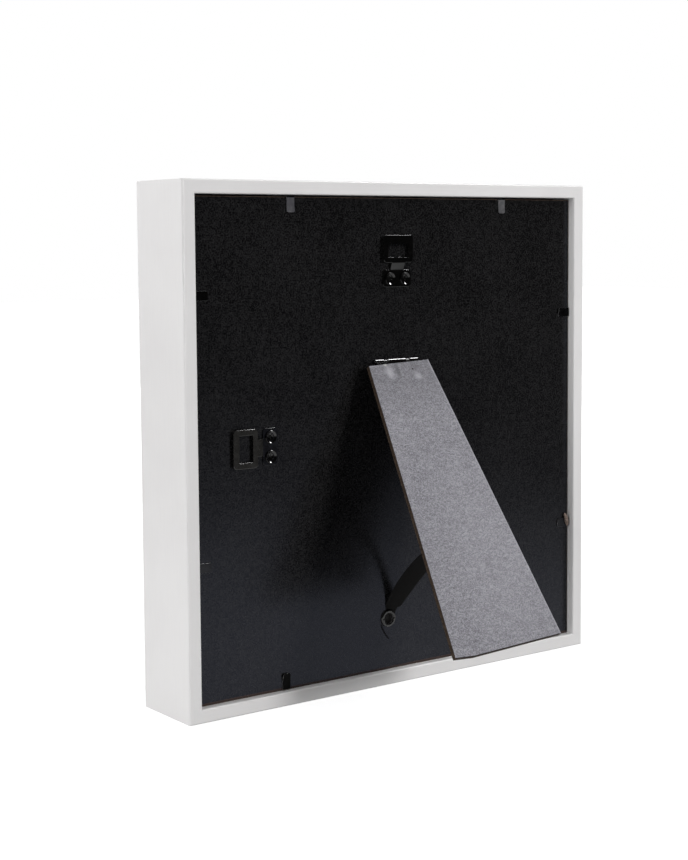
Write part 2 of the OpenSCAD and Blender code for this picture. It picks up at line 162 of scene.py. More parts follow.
def whiteLacquer(name, along):
    material, wire = newMaterial(name)
    stretch = [1.0, 1.0, 1.0]
    stretch["XYZ".index(along)] = lacquer["drawn"]
    drawn = grain(wire, place(wire, stretch), lacquer["grain"], 3)
    cloud = grain(wire, place(wire), lacquer["cloud"], 3)
    peel = grain(wire, place(wire), lacquer["peel"], 1)
    tone = cloud * 0.65 + drawn * 0.35
    fine = relief(wire, drawn, lacquer["grainDepth"])
    return surface(material, wire, {
        "Base Color": tone.ramp((0.32, lacquer["shade"]), (0.62, lacquer["white"])),
        "Roughness": lacquer["roughness"] + (cloud - 0.5) * 0.12 + (drawn - 0.5) * 0.06,
        "Specular IOR Level": 0.4,
        "Normal": relief(wire, peel, lacquer["peelDepth"], fine),
    })


film = {
    "black": (0.0016, 0.0015, 0.0014),
    "worn": (0.0185, 0.0180, 0.0182),
    "bare": (0.042, 0.028, 0.023, 1),  # board showing where the film ends
    "endsAt": 140.35 * mm,
    "longer": 0.5 * mm,  # how much further it reaches at the top and the sides
    "middle": 150 * mm,
    "sheen": (0.70, 0.76, 1.0, 1),
    "roughness": 0.24,
    "cell": 1.15 * mm,
    "grain": 0.95 * mm,
    "blotch": 2.6 * mm,
    "cloud": 30 * mm,
    "depth": 0.026 * mm,
    "smooth": (30 * mm, 150 * mm, 0.15),  # rubbed flatter below: from, to, share of the grain left
}


def filmEnds(wire, at, fine):  # 1 where the brown board shows along the walls
    up = at.part(2)
    across = wire.maths("ABSOLUTE", at.part(0))
    sides = wire.maths("MAXIMUM", across, up - film["middle"]) - film["longer"]
    reach = wire.maths("MAXIMUM", sides, film["middle"] - up)
    return reach + (fine - 0.5) * 0.6 * mm > film["endsAt"]


def blackFilm():
    material, wire = newMaterial("blackFilm")
    at = place(wire)
    cellSockets = {"Vector": at, "Scale": 1 / film["cell"], "Smoothness": 0.6}
    cells = wire.add("TexVoronoi", {"feature": "SMOOTH_F1"}, cellSockets)
    fine = grain(wire, at, film["grain"], 2, 0.6)
    cloud = grain(wire, at, film["cloud"], 4)
    blotch = grain(wire, at, film["blotch"], 2)
    low, high, left = film["smooth"]
    grainLeft = at.part(2).spread(low, high, left, 1.0, "LINEAR")
    height = (cells * 0.5 + fine) * grainLeft
    tone = cloud * 0.08 + fine * 0.68 + blotch * 0.24
    colour = tone.ramp((0.40, film["black"]), (0.63, film["worn"]))
    return surface(material, wire, {
        "Base Color": filmEnds(wire, at, fine).mix(colour, film["bare"]),
        "Roughness": film["roughness"] + (cloud - 0.5) * 0.10 + (fine - 0.5) * 0.05,
        "Specular IOR Level": 0.26,
        "Specular Tint": film["sheen"],
        "Normal": relief(wire, height, film["depth"]),
    })


paper = {  # all in mm on the strut, because its uv is in millimetres
    "grey": (0.370, 0.365, 0.400),
    "dark": (0.135, 0.132, 0.150),
    "torn": (0.50, 0.49, 0.49, 1),
    "hole": (0.05, 0.045, 0.045, 1),
    # pale tone of the painted highlights
    "pale": (0.58, 0.57, 0.62, 1),
    # dark tone of the painted shade at the top and of the dark marks
    "paintedShade": (0.10, 0.098, 0.108, 1),
    "bare": (0.020, 0.014, 0.011, 1),  # board brown, darkened as painted shade along the foot
    "tornAt": (14.0, 3.9, 1.15),  # across, down and radius
    "holeAt": (-5.2, 7.9, 0.62),
    "topShade": (10.0, 44.0, 0.30),  # painted shade at the top, between the rivet dents: from, to, share
    "marks": [  # painted highlights and shade round the dents, and a lighter lower part: across, down, half width, half height, share of the pale or the dark tone
        (12.4, 9.6, 4.4, 6.4, 0.50), (6.3, 7.5, 2.6, 9.0, -0.60), (-7.4, 12.8, 4.2, 3.8, 0.42),
        (-8.0, 5.6, 5.5, 5.0, -0.28), (-4.5, 133.0, 5.0, 4.0, 0.16), (-9.5, 131.0, 3.2, 5.0, -0.22),
        (-16.0, 130.0, 46.0, 85.0, 0.13),
    ],
    "streak": (0.70 * mm, 1.1 * mm),
    "curl": (2.3 * mm, 1.5 * mm),
    "cloud": 12 * mm,
    "ragged": 1.1 * mm,
    "depth": 0.42 * mm,
}


def markPaper(wire, colour, across, down, fine):  # painted highlights and shade: soft pale and dark spots
    for x, u, halfX, halfU, share in paper["marks"]:
        level = wire.maths("POWER", (across - x) / halfX, 2.0)
        upright = wire.maths("POWER", (down - u) / halfU, 2.0)
        away = wire.maths("SQRT", level + upright)
        mark = (away + (fine - 0.5) * 0.5).spread(0.15, 1.0, abs(share), 0.0)
        colour = mark.mix(colour, paper["pale" if share > 0 else "paintedShade"])
    return colour


def raggedSpot(wire, uv, ragged, spot):
    across, down, radius = spot
    away = wire.add("VectorMath", {"operation": "DISTANCE"}, {0: uv, 1: (across, down, 0)}, 1)
    return away + (ragged - 0.5) * 1.6 < radius


def greyPaper():
    material, wire = newMaterial("greyPaper")
    uv = wire.add("TexCoord", out="UV")
    flat = wire.add("Mapping", None, {"Vector": uv, "Scale": (mm, mm, mm)})
    wide, tall = paper["streak"]
    streaked = wire.add("Mapping", None, {"Vector": flat, "Scale": (1, wide / tall, 1)})
    curlWide, curlTall = paper["curl"]
    level = wire.add("Mapping", None, {"Vector": flat, "Scale": (curlTall / curlWide, 1, 1)})
    curlSockets = {"Vector": level, "Scale": 1 / curlTall, "Detail": 2.0, "Distortion": 1.1}
    winding = wire.add("TexNoise", None, curlSockets)
    curl = wire.maths("MINIMUM", wire.maths("ABSOLUTE", winding - 0.5) * 9, 1.0)  # dark winding creases: an embossed pattern, its valleys also darkened in colour as painted shade
    fine = grain(wire, streaked, wide, 3, 0.65)
    cloud = grain(wire, flat, paper["cloud"], 4)
    ragged = grain(wire, flat, paper["ragged"], 3, 0.7)
    tone = fine * 0.56 + curl * 0.20 + cloud * 0.10 + 0.07
    colour = tone.ramp((0.34, paper["dark"]), (0.61, paper["grey"]))
    across = uv.part(0)
    down = uv.part(1)
    # painted shade: the top of the strut darkened between the rivet dents
    start, end, share = paper["topShade"]
    colour = down.spread(start, end, share, 0.0).mix(colour, paper["paintedShade"])
    # painted highlights and shade round the dents, and a lighter lower part
    colour = markPaper(wire, colour, across, down, fine)
    # painted shade: the paper turns dark board brown along the foot's edges
    foot = wire.add("Attribute", {"attribute_name": "foot"}, out=2)
    colour = (foot + (fine - 0.5) * 0.3 > 0.5).mix(colour, paper["bare"])
    # painted highlight: a pale band along one long edge
    rim = wire.add("Attribute", {"attribute_name": "rim"}, out=2)
    colour = (rim * 0.55).mix(colour, paper["pale"])
    torn = raggedSpot(wire, uv, ragged, paper["tornAt"])
    colour = torn.mix(colour, paper["torn"])
    colour = raggedSpot(wire, uv, ragged, paper["holeAt"]).mix(colour, paper["hole"])
    return surface(material, wire, {
        "Base Color": colour,
        "Roughness": 0.66 + (cloud - 0.5) * 0.15,
        "Specular IOR Level": 0.25,
        "Normal": relief(wire, curl * 0.45 + fine + torn * 0.6, paper["depth"]),
    })


fibre = {
    "dark": (0.014, 0.010, 0.008),
    "brown": (0.048, 0.033, 0.024),
    "pale": (0.105, 0.074, 0.055),
    "fluff": 0.35 * mm,
    "layers": 1.4 * mm,
    "depth": 0.15 * mm,
}


def rawBoard(name, lift):  # lift: how much lighter, in red, green and blue
    material, wire = newMaterial(name)
    at = place(wire)
    fluff = grain(wire, at, fibre["fluff"], 5, 0.7)
    layers = grain(wire, at, fibre["layers"], 2)
    shades = []
    for key in ("dark", "brown", "pale"):
        shades.append(tuple(part * more for part, more in zip(fibre[key], lift)))
    return surface(material, wire, {
        "Base Color": (fluff * 0.6 + layers * 0.4).ramp(*zip((0.36, 0.5, 0.66), shades)),
        "Roughness": 0.85,
        "Specular IOR Level": 0.2,
        "Normal": relief(wire, fluff, fibre["depth"]),
    })


liner = {"grain": 0.5 * mm, "cloud": 12 * mm, "roughness": 0.6, "depth": 0.06 * mm}


def blackLiner(name, shine, low, high):
    material, wire = newMaterial(name)
    at = place(wire)
    fine = grain(wire, at, liner["grain"], 4, 0.6)
    cloud = grain(wire, at, liner["cloud"], 3)
    return surface(material, wire, {
        "Base Color": (fine * 0.5 + cloud * 0.5).ramp((0.35, low), (0.7, high)),
        "Roughness": liner["roughness"] + (cloud - 0.5) * 0.2,
        "Specular IOR Level": shine,
        "Normal": relief(wire, fine, liner["depth"]),
    })


enamel = {
    "black": (0.0003, 0.0003, 0.0003),
    "wearAndSheen": (0.0013, 0.0011, 0.0010),
    "roughness": 0.12,
    "cloud": 3 * mm,
    "peel": 0.8 * mm,
    "peelDepth": 0.004 * mm,
    "cap": (0.001, 0.001, 0.001, 1),
    "capFrom": 290.6 * mm,  # height above which the top tabs' bends keep the plain black, without the painted reflection
}


def blackEnamel(name, low=enamel["black"], high=enamel["wearAndSheen"], index=1.5, capped=False):
    material, wire = newMaterial(name)
    at = place(wire)
    peel = grain(wire, at, enamel["peel"], 2)
    cloud = grain(wire, at, enamel["cloud"], 4)
    colour = cloud.ramp((0.42, low), (0.72, high))
    if capped:
        colour = (at.part(2) > enamel["capFrom"]).mix(colour, enamel["cap"])
    return surface(material, wire, {
        "Base Color": colour,
        "Roughness": enamel["roughness"] + (cloud - 0.5) * 0.16,
        "IOR": index,
        "Normal": relief(wire, peel, enamel["peelDepth"]),
    })


steel = {  # grain size and how it is drawn out, dark and light stops, roughness
    "sheared": (0.25 * mm, (1, 1, 1), (0.35, (0.22, 0.22, 0.225)), (0.65, (0.62, 0.61, 0.62)), 0.35),
    "bare": (0.12 * mm, (0.05, 1, 1), (0.3, (0.34, 0.34, 0.35)), (0.7, (0.52, 0.52, 0.53)), 0.28),
}


def plainSteel(name, kind):
    material, wire = newMaterial(name)
    size, stretch, dark, light, roughness = steel[kind]
    drawn = grain(wire, place(wire, stretch), size, 3)
    return surface(material, wire, {
        "Base Color": drawn.ramp(dark, light),
        "Roughness": roughness + drawn * 0.2,
        "Metallic": 1.0,
    })


weave = {  # in mm, as the ribbon's uv is
    "weft": 0.42,
    "warp": 0.30,
    "middle": 5.5,
    "selvedge": 4.9,  # distance from the middle where the firm edge starts
    "dust": 2.5 * mm,
    "black": (0.0034, 0.0032, 0.0032),
    "dusty": (0.0080, 0.0076, 0.0076),
    "depth": 0.03 * mm,
}


def wovenRibbon():
    material, wire = newMaterial("wovenRibbon")
    uv = wire.add("TexCoord", out="UV")
    across = uv.part(0)
    weft = wire.maths("SINE", uv.part(1) * (2 * math.pi / weave["weft"]))
    warp = wire.maths("SINE", across * (2 * math.pi / weave["warp"]))
    selvedge = wire.maths("ABSOLUTE", across - weave["middle"]) > weave["selvedge"]
    height = weft * 0.5 + warp * 0.25 + selvedge * 0.6
    dust = grain(wire, place(wire), weave["dust"], 3)
    return surface(material, wire, {
        "Base Color": (height * 0.25 + dust).ramp((0.3, weave["black"]), (0.85, weave["dusty"])),
        "Roughness": 0.5 + dust * 0.2,
        "Specular IOR Level": 0.06,
        "Normal": relief(wire, height, weave["depth"]),
    })


sheet = {"tint": (0.97, 0.985, 0.99, 1), "index": 1.49, "haze": 40 * mm}


def clearAcrylic():
    material, wire = newMaterial("clearAcrylic")
    haze = grain(wire, place(wire), sheet["haze"], 3)
    return surface(material, wire, {
        "Base Color": sheet["tint"],
        "Roughness": haze * 0.03,
        "Transmission Weight": 1.0,
        "IOR": sheet["index"],
    })


card = {"felt": 0.4 * mm, "cloud": 25 * mm, "darker": 0.95}


def whiteCard(name, tone, depth):
    material, wire = newMaterial(name)
    at = place(wire)
    felt = grain(wire, at, card["felt"], 4, 0.65)
    cloud = grain(wire, at, card["cloud"], 2)
    low = tuple(shade * card["darker"] for shade in tone)
    return surface(material, wire, {
        "Base Color": (felt * 0.4 + cloud * 0.6).ramp((0.35, low), (0.65, tone)),
        "Roughness": 0.8,
        "Specular IOR Level": 0.3,
        "Normal": relief(wire, felt, depth),
    })


finishes = {
    "filmBlack": blackFilm(),
    "paperGrey": greyPaper(),
    "boardRaw": rawBoard("rawBoard", (1.7, 1.7, 1.7)),
    "strutRaw": rawBoard("rawStrut", (0.75, 0.75, 0.75)),
    "chip": rawBoard("tornChip", (4.9, 5.5, 6.4)),
    "liner": blackLiner("blackLiner", 0.3, (0.006, 0.006, 0.006), (0.014, 0.013, 0.013)),
    # painted shade: a matte coat inside the eyelets' bores, so that they read as unlit
    "bore": blackLiner("unlitBore", 0.1, (0.017, 0.017, 0.017), (0.044, 0.042, 0.042)),
    "enamel": blackEnamel("blackEnamel"),
    # painted reflection: a lighter copy of the black enamel for the side hanger's ring
    "wearAndSheen": blackEnamel("floorSheenEnamel", (0.0135, 0.0130, 0.0122), (0.0205, 0.0196, 0.0185)),
    # painted reflection: light grey copies of the black steel for the top tabs, which reflect the floor;
    # their bends keep the black
    "blued": blackEnamel("floorSheenSpring", (0.064, 0.063, 0.070), (0.096, 0.094, 0.103), 1.6, True),
    "bright": blackEnamel("strongSheenSpring", (0.088, 0.087, 0.093), (0.146, 0.144, 0.149), 1.6, True),
    # painted reflection: copies of the black steel as dim as the board's sheen round them
    "satin": blackEnamel("boardSheenSpring", (0.0085, 0.0088, 0.0115), (0.017, 0.0176, 0.022), 1.3),
    "dusky": blackEnamel("duskySpring", (0.005, 0.0052, 0.0068), (0.011, 0.0114, 0.0145), 1.3),
    # painted shade: a barely reflecting copy of the black steel for tabs that reflect nothing bright
    "dull": blackEnamel("matteShadeSpring", (0.0012, 0.0012, 0.0014), (0.0048, 0.0046, 0.0050), 1.1),
    "sheared": plainSteel("shearedSteel", "sheared"),
    "steel": plainSteel("bareSteel", "bare"),
    "ribbon": wovenRibbon(),
    "acrylic": clearAcrylic(),
    "spacer": whiteCard("spacerWrap", (0.82, 0.82, 0.81), 0.02 * mm),
    "mat": whiteCard("matCard", (0.86, 0.85, 0.82), 0.05 * mm),
    "card": whiteCard("blankCard", (0.84, 0.84, 0.84), 0.02 * mm),
    "alongX": whiteLacquer("lacquerLevel", "X"),
    "alongZ": whiteLacquer("lacquerUpright", "Z"),
}
print("finishes made:", len(finishes))


# shared modelling steps
def wear(piece, *coats):
    if piece.data.materials:  # clearing an empty list would reset the faces' coats
        piece.data.materials.clear()
    for finish in coats:
        piece.data.materials.append(finishes[finish])


def join(piece, body, slot, *stoodFor):
    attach(piece, body)
    if stoodFor:
        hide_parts(*stoodFor)


def toPiece(mesh, name, *coats):
    data = bpy.data.meshes.new(name)
    mesh.to_mesh(data)
    mesh.free()
    piece = bpy.data.objects.new(name, data)
    bpy.context.scene.collection.objects.link(piece)
    wear(piece, *coats)
    return piece


def soften(piece, width, segments=3, limit="ANGLE", angle=13):
    bevel = piece.modifiers.new("soften", "BEVEL")
    bevel.width = width
    bevel.segments = segments
    bevel.profile = 0.5
    bevel.limit_method = limit
    bevel.angle_limit = math.radians(angle)
    bevel.harden_normals = True
    for face in piece.data.polygons:
        face.use_smooth = True
    piece.data.set_sharp_from_angle(angle=math.radians(angle))
    return piece


def copied(node):  # a merged copy of a CAD node
    mesh = bmesh.new()
    mesh.from_mesh(nodes[node].data)
    bmesh.ops.remove_doubles(mesh, verts=mesh.verts, dist=0.002 * mm)
    bmesh.ops.dissolve_limit(mesh, angle_limit=math.radians(0.5), verts=mesh.verts, edges=mesh.edges)
    return mesh


def eased(node, name, finish, width):  # the same with rounded edges
    return soften(toPiece(copied(node), name, finish), width, 2)


# places that several pieces share
hinge = {"y": 21.25 * mm, "z": 194.55 * mm, "open": 30}
opened = Matrix.Rotation(math.radians(hinge["open"]), 4, "X")
onStrut = Matrix.Translation((0, hinge["y"], hinge["z"])) @ opened
outward = Matrix.Rotation(math.radians(-90), 4, "X")  # local z turned out of the board
inward = Matrix.Rotation(math.radians(90), 4, "X")  # local z turned out of the strut's inner face
faceY = 20 * mm  # back of the board and its film


def weighted(mesh, rounds):  # marks the edges that a bevel by weight rounds
    weight = mesh.edges.layers.float.new("bevel_weight_edge")
    for edge in mesh.edges:
        edge[weight] = 1.0 if rounds(edge) else 0.0


def secondLayer(mesh):  # extrudes all faces and gives the new vertices
    layer = bmesh.ops.extrude_face_region(mesh, geom=mesh.faces[:])["geom"]
    return [part for part in layer if isinstance(part, bmesh.types.BMVert)]


def clamped(value):  # no less than 0 and no more than 1
    return min(1, max(0, value))


# rails: the long arrises are rounded, the mitres stay closed
rails = {
    "round": 0.30 * mm,
    "segments": 3,
    "long": 100 * mm,
    "finishes": {"bottom": "alongX", "left": "alongZ", "top": "alongX", "right": "alongZ"},
}


def makeRail(side, finish):
    mesh = copied("rail_" + side)
    weighted(mesh, lambda edge: edge.calc_length() > rails["long"])
    piece = toPiece(mesh, "lacquered_" + side, finish)
    soften(piece, rails["round"], rails["segments"], "WEIGHT")
    join(piece, "frame", "white_lacquer", "rail_" + side)


for side, finish in rails["finishes"].items():
    makeRail(side, finish)
print("rails done")

# flat pieces: all but the mat stay as the CAD has them
plain = {
    "acrylic_sheet": "acrylic",
    "spacer_bottom": "spacer",
    "spacer_left": "spacer",
    "spacer_top": "spacer",
    "spacer_right": "spacer",
    "picture_card": "card",
    "backing_board": "boardRaw",
    "backing_film": "filmBlack",
    "tab_anchors": "enamel",
    # painted shade: the pin takes the black enamel, so that the gaps between the knuckles read dark
    "hinge_pin": "enamel",
    "corner_v_nails": "steel",
}
mat = {"round": 0.12 * mm}
for node, finish in plain.items():
    wear(nodes[node], finish)
join(eased("mat_board", "window_mat", "mat", mat["round"]), "frame", "mat_white", "mat_board")
print("flat pieces done")

# bending tabs: each leaves the wall and lies over the board
tabs = {
    "width": 5.4 * mm,
    "length": 9.2 * mm,
    "start": 0.25 * mm,
    "thick": 0.5 * mm,
    "corner": 1.1 * mm,
    "under": 20.1 * mm,  # y of the underside
    "root": 141.65 * mm,  # from the middle of the frame to the bend
    "middle": 150 * mm,  # height of the frame's middle
    "flat": 0.42,  # share inside the wall's depth, which stays flat, or it would bend into it
    "columns": 8,
    "rows": 22,
    "soft": 0.11 * mm,
    "turns": {"top": 180, "bottom": 0, "left": -90, "right": 90},
    # each tab's finish other than enamel is a copy of the black steel, lighter or darker as painted
    # reflection and shade
    "list": {  # wall, place along it in mm, curl of the free end in mm, twist, finish
        "tab_top_left": ("top", -83.4, 0.35, 0.3, "bright"),
        "tab_top_right": ("top", 76.5, 0.55, -0.3, "blued"),
        "tab_bottom_left": ("bottom", -83.1, 0.4, 0.6, "dull"),
        "tab_bottom_right": ("bottom", 82.5, 0.6, -0.5, "dull"),
        "tab_left_upper": ("left", 219, 0.5, 0.8, "dull"),
        "tab_left_lower": ("left", 81.9, 0.2, 0.15, "dusky"),
        "tab_right_upper": ("right", 236.4, 0.2, 0.2, "enamel"),
        "tab_right_lower": ("right", 85.8, 0.2, 0.15, "satin"),
    },
}


def tabSpot(vert, spring, twist):  # on a blade lying along y, with a rounded end that curls up
    half = tabs["width"] / 2
    reach = tabs["length"]
    corner = tabs["corner"]
    share = vert.co.y + 0.5
    inner = max(0, share * reach - (reach - corner))
    span = half - corner + math.sqrt(max(0, corner ** 2 - inner ** 2))
    past = max(0, (share - tabs["flat"]) / (1 - tabs["flat"]))
    lift = (spring * past ** 2 + twist * vert.co.x * past) * mm
    return vert.co.x * 2 * span, tabs["start"] + share * reach, max(0, lift)


def tabPlace(wall, along):  # takes that blade to its wall, its underside to the board
    root = tabs["root"]
    middle = tabs["middle"]
    roots = {
        "top": (along * mm, middle + root),
        "bottom": (along * mm, middle - root),
        "left": (-root, along * mm),
        "right": (root, along * mm),
    }
    x, z = roots[wall]
    flip = Matrix.Rotation(math.radians(180), 4, "Z")
    spin = Matrix.Rotation(math.radians(-tabs["turns"][wall]), 4, "Y")
    return Matrix.Translation((x, tabs["under"], z)) @ spin @ flip @ inward


def makeTab(node, wall, along, spring, twist, finish):
    mesh = bmesh.new()
    bmesh.ops.create_grid(mesh, x_segments=tabs["columns"], y_segments=tabs["rows"], size=0.5)
    for vert in mesh.verts:
        vert.co = tabSpot(vert, spring, twist)
    bmesh.ops.translate(mesh, verts=secondLayer(mesh), vec=(0, 0, tabs["thick"]))
    bmesh.ops.recalc_face_normals(mesh, faces=mesh.faces)
    for face in mesh.faces:
        face.material_index = 1 if abs(face.normal.z) < 0.5 else 0
    bmesh.ops.transform(mesh, matrix=tabPlace(wall, along), verts=mesh.verts)
    piece = soften(toPiece(mesh, node + "_blade", finish, "sheared"), tabs["soft"], 2, angle=50)
    join(piece, node, "black_steel", node)


for node, values in tabs["list"].items():
    makeTab(node, *values)
print("tabs done")

# hangers and hinge leaves
stamped = {
    "hanger": 0.34 * mm,
    "leaf": 0.20 * mm,
    "sharp": 13,
    # the plate's finish, x past which it takes the painted reflection, and the sawteeth's half width,
    # bottom and top
    "hangers": {
        "hanger_top": ("enamel", math.inf, (8 * mm, 262 * mm, 266 * mm)),
        # painted reflection: the side hanger's plate takes a dim sheen like the board's, its ring past 99
        # mm a lighter one
        "hanger_side": ("dusky", 99 * mm, None),
    },
    "leaves": {
        "hinge_board_leaf": ("hinge_leaf_fixed", "frame"),
        "hinge_strut_leaf": ("hinge_leaf_moving", "strut"),
    },
}


def makeHanger(node, plate, sheenFrom, teeth):  # the sawteeth's edges stay as cut
    def rounds(edge):
        middle = (edge.verts[0].co + edge.verts[1].co) / 2
        tooth = teeth and abs(middle.x) < teeth[0] and teeth[1] < middle.z < teeth[2]
        paired = len(edge.link_faces) == 2
        return paired and edge.calc_face_angle(0) > math.radians(stamped["sharp"]) and not tooth

    mesh = copied(node)
    weighted(mesh, rounds)
    for face in mesh.faces:
        # painted reflection: faces past that x take the lighter copy of the enamel
        face.material_index = 1 if face.calc_center_median().x > sheenFrom else 0
    piece = soften(toPiece(mesh, node + "_stamping", plate, "wearAndSheen"), stamped["hanger"], 3, "WEIGHT")
    piece.modifiers["soften"].use_clamp_overlap = False  # short edges at the teeth would flatten it
    join(piece, "frame", "black_steel", node)


for node, values in stamped["hangers"].items():
    makeHanger(node, *values)
for node, (name, body) in stamped["leaves"].items():
    join(eased(node, name, "enamel", stamped["leaf"]), body, "black_steel", node)
print("stampings done")

# rivets and eyelets: profiles turned round the bore
rolled = {
    "steps": 72,
    "splits": 6,
    "splitDepth": 0.30,
    "dents": 0.10,
    "floor": -0.9 * mm,  # no split reaches below it
    "darkFloor": -1.9 * mm,  # the unlit bore ends here
}


def turnProfile(profile):  # from the axis out over the head and back to the axis below
    mesh = bmesh.new()
    line = [mesh.verts.new((radius, 0, height)) for radius, height in profile]
    edges = [mesh.edges.new(pair) for pair in zip(line, line[1:])]
    bmesh.ops.spin(mesh, geom=line + edges, cent=(0, 0, 0), axis=(0, 0, 1), angle=2 * math.pi,
                   steps=rolled["steps"], use_merge=True)
    bmesh.ops.remove_doubles(mesh, verts=mesh.verts, dist=0.001 * mm)
    bmesh.ops.recalc_face_normals(mesh, faces=mesh.faces)
    return mesh


def splitHead(mesh, number, low, high):  # splits and dents between two radii
    for vert in mesh.verts:
        radius = math.hypot(vert.co.x, vert.co.y)
        if low < radius < high and vert.co.z > rolled["floor"]:
            angle = math.atan2(vert.co.y, vert.co.x) + number * 0.4
            crease = max(0, math.cos(angle * rolled["splits"])) ** 12
            share = math.sin(math.pi * (radius - low) / (high - low))
            wobble = noise.noise(vert.co * 900 + Vector((number * 7.0, 0, 0)))
            vert.co.z += (rolled["dents"] * wobble - rolled["splitDepth"] * crease) * share * mm


def mounted(body, x, out, z):  # local z turned out of the board, or of the strut's inner face
    if body == "strut":
        return onStrut @ Matrix.Translation((x * mm, out * mm, z * mm)) @ inward
    return Matrix.Translation((x * mm, faceY + out * mm, z * mm)) @ outward


def makeTurned(node, name, body, profile, spots, split=(0, 0), dark=0):  # dark: reach of the unlit bore
    mesh = bmesh.new()
    for number, spot in enumerate(spots):
        part = turnProfile(profile)
        splitHead(part, number, *split)
        for face in part.faces:
            middle = face.calc_center_median()
            unlit = math.hypot(middle.x, middle.y) < dark and middle.z > rolled["darkFloor"]
            face.material_index = 1 if unlit else 0
        bmesh.ops.transform(part, matrix=mounted(body, *spot), verts=part.verts)
        data = bpy.data.meshes.new("part")
        part.to_mesh(data)
        part.free()
        mesh.from_mesh(data)
        bpy.data.meshes.remove(data)
    for face in mesh.faces:
        face.smooth = True
    piece = toPiece(mesh, name, "enamel", "bore")
    piece.data.set_sharp_from_angle(angle=math.radians(40))
    join(piece, body, "black_steel", node)


def inMillimetres(*points):
    return [(radius * mm, height * mm) for radius, height in points]


def below(rim, tube, head, grip):  # under the head: tube through the grip and a flat clinched end
    return [
        (rim, 0), (tube, -0.05), (tube, 0.5 - grip), (head, 0.5 - grip), (head, 0.12 - grip),
        (head - 0.12, -grip), (0, -grip),
    ]


def dishedProfile(rim, tube, head, grip):  # a bowl that steepens to a thin rim
    shares = [k / 14 for k in range(15)]
    bowl = [(share * (rim - 0.25), 1.45 * share ** 2.6 - 0.62) for share in shares]
    lip = [(rim - 0.12, 0.90), (rim - 0.02, 0.80), (rim, 0.55)]
    return inMillimetres(*bowl, *lip, *below(rim, tube, head, grip))


def rolledProfile(rim, bore, head, grip):  # a rolled ring round a deep dark bore
    wide = rim - bore
    deep = [(0, -1.7), (bore - 0.35, -1.6), (bore, -1.2), (bore, -0.4)]
    crown = [(0.93, 0.12), (0.8, 0.48), (0.62, 0.68), (0.42, 0.72), (0.2, 0.6), (0.06, 0.36)]
    ring = [(rim - share * wide, height) for share, height in crown]
    return inMillimetres(*deep, *ring, *below(rim, bore + 0.5, head, grip))


def solidProfile(grip):
    dome = [(0, 0.62), (0.7, 0.58), (1.3, 0.42), (1.75, 0.18)]
    return inMillimetres(*dome, *below(1.98, 1.1, 2, grip))


hardware = {  # places in mm: x, height over the board and z, or x, y and z from the pin on the strut
    "hanger_rivets": {
        "name": "rolled_hanger_rivets",
        "body": "frame",
        "profile": dishedProfile(3.7, 1.98, 3.33, 3.8),
        "spots": [(-5.65, 0.8, 243.4), (5.65, 0.8, 243.4), (92, 0.8, 144.35), (92, 0.8, 155.65)],
        "split": (0.3 * mm, 2.7 * mm),
    },
    "hinge_board_rivets": {
        "name": "round_board_rivets",
        "body": "frame",
        "profile": solidProfile(3.5),
        "spots": [(-3.94, 0.5, 185.87), (6.94, 0.5, 185.87)],
    },
    "hinge_strut_rivets": {
        "name": "round_strut_rivets",
        "body": "strut",
        "profile": solidProfile(2.8),
        "spots": [(-9.06, 0.75, -10.2), (12.06, 0.75, -10.2)],
    },
    "strap_board_eyelet": {
        "name": "rolled_board_eyelet",
        "body": "frame",
        "profile": rolledProfile(5.35, 2.85, 4.2, 3.4),
        "spots": [(7.7, 0.4, 39.3)],
        "split": (3.0 * mm, 4.9 * mm),
        "dark": 3.3 * mm,
    },
    "strap_strut_eyelet": {
        "name": "rolled_strut_eyelet",
        "body": "strut",
        "profile": rolledProfile(5, 2.75, 4.2, 3.36),
        "spots": [(-4, 0.19, -131)],
        "split": (2.9 * mm, 4.6 * mm),
        "dark": 3.3 * mm,
    },
}
for node, values in hardware.items():
    makeTurned(node, **values)
print("rivets and eyelets done")

# strut: across and down from the pin, in mm
strut = {
    "outline": [(-22.75, 3.25), (22.75, 3.25), (40.15, 181.15), (26.65, 182.55), (-40.15, 182.55)],
    "grid": (88, 186),  # a little more than the outline, across and down
    "cell": 0.8,
    "x": 3.2,
    "skew": 2.4,
    "cover": 3.55 * mm,
    "thick": 0.2 * mm,
    "round": (0.18, 0.7),  # how far the paper's edge drops, and from which distance
    "lowest": -0.17,
    "rim": 1.3,  # width of the pale rim, a painted highlight along one long edge
    "foot": 1.2,  # width of the painted shade along the foot
    "footFrom": 170,
    "waves": [(0.035, 3, 0.35), (0.05, 0, 0.09)],  # height, seed, pitch
    "dents": [  # across, down, radius, depth
        (11.4, 9.9, 3.2, 0.62), (-8.4, 9.9, 3.0, 0.52), (-4.0, 131.0, 5.2, 0.62), (17.0, 6.5, 3.0, 0.10),
        (12.06, 10.4, 7.0, -0.46), (-9.06, 10.4, 7.0, -0.38), (-4.0, 131.0, 9.0, -0.45),
        (6.0, 60.0, 16.0, 0.08), (-14.0, 95.0, 14.0, 0.06), (20.0, 150.0, 18.0, 0.08),
    ],
    "core": 0.25 * mm,
}


def coverGrid(sides):  # flat, cut to the outline
    mesh = bmesh.new()
    wide, tall = strut["grid"]
    columns = int(wide / strut["cell"])
    rows = int(tall / strut["cell"])
    bmesh.ops.create_grid(mesh, x_segments=columns, y_segments=rows, size=0.5)
    for vert in mesh.verts:
        vert.co = (vert.co.x * wide, vert.co.y * tall + tall / 2, 0)
    for p, q in sides:
        away = Vector((q.y - p.y, p.x - q.x, 0))
        everything = mesh.verts[:] + mesh.edges[:] + mesh.faces[:]
        bmesh.ops.bisect_plane(mesh, geom=everything, plane_co=p, plane_no=away, clear_outer=True)
    return mesh


def gapTo(spot, p, q):  # distance from the line through p and q
    along = (q - p).normalized()
    return ((spot - p) - along * (spot - p).dot(along)).length


